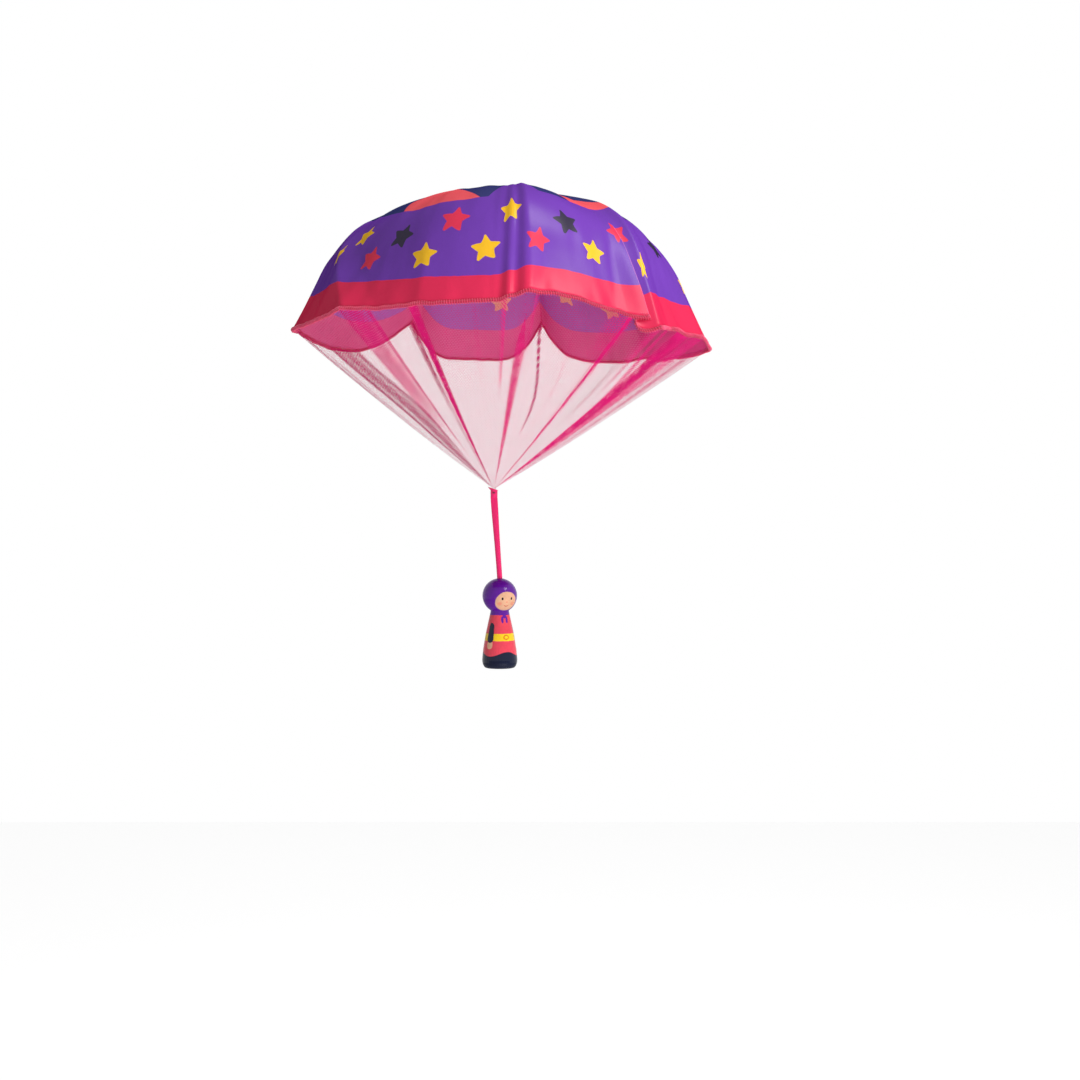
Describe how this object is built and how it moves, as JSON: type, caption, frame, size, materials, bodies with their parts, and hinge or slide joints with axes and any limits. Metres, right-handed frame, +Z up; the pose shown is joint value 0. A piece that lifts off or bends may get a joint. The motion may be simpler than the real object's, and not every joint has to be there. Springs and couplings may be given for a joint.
{
  "type": "toy parachute",
  "caption": "Toy parachute in flight: domed satin canopy with overlocked hem, gathered net skirt, tie, ribbon and turned wooden doll.",
  "frame": {"origin": "crown of the canopy, on its outer side", "axes": "+Z up, with the doll hanging towards -Z; the doll and ribbon face -Y"},
  "size_m": [0.3066, 0.3156, 0.3417],
  "materials": {
    "canopy_satin": "printed satin",
    "overlock_thread": "matte thread",
    "net_tulle": "fine soft net",
    "tie_thread": "matte thread",
    "ribbon_satin": "satin ribbon",
    "painted_wood": "gloss paint"
  },
  "bodies": {
    "canopy": {"canopy_cloth": "canopy_satin", "hem_overlock": "overlock_thread", "net_skirt": "net_tulle"},
    "net_tip": {"gather_thread": "tie_thread"},
    "tie": {"ribbon_wrap": "ribbon_satin", "wrap_stitch": "tie_thread"},
    "strap": {"ribbon": "ribbon_satin"},
    "doll": {"peg_doll": "painted_wood"}
  },
  "joints": [
    {"name": "net_fold", "type": "slide", "parent": "canopy", "child": "net_tip", "axis": [0, 0, 1], "range_m": [0, 0.09], "deforming": ["net_skirt"]},
    {"name": "side_swing", "type": "hinge", "parent": "net_tip", "child": "tie", "pos_m": [-0.0102, 0, -0.2145], "axis": [0, 1, 0], "range_deg": [-60, 60]},
    {"name": "fore_aft_swing", "type": "hinge", "parent": "tie", "child": "strap", "pos_m": [-0.0102, 0, -0.21905], "axis": [1, 0, 0], "range_deg": [-90, 90]},
    {"name": "doll_spin", "type": "hinge", "parent": "strap", "child": "doll", "pos_m": [-0.006, 0, -0.2767], "axis": [0, 0, 1], "range_deg": [-180, 180]}
  ]
}
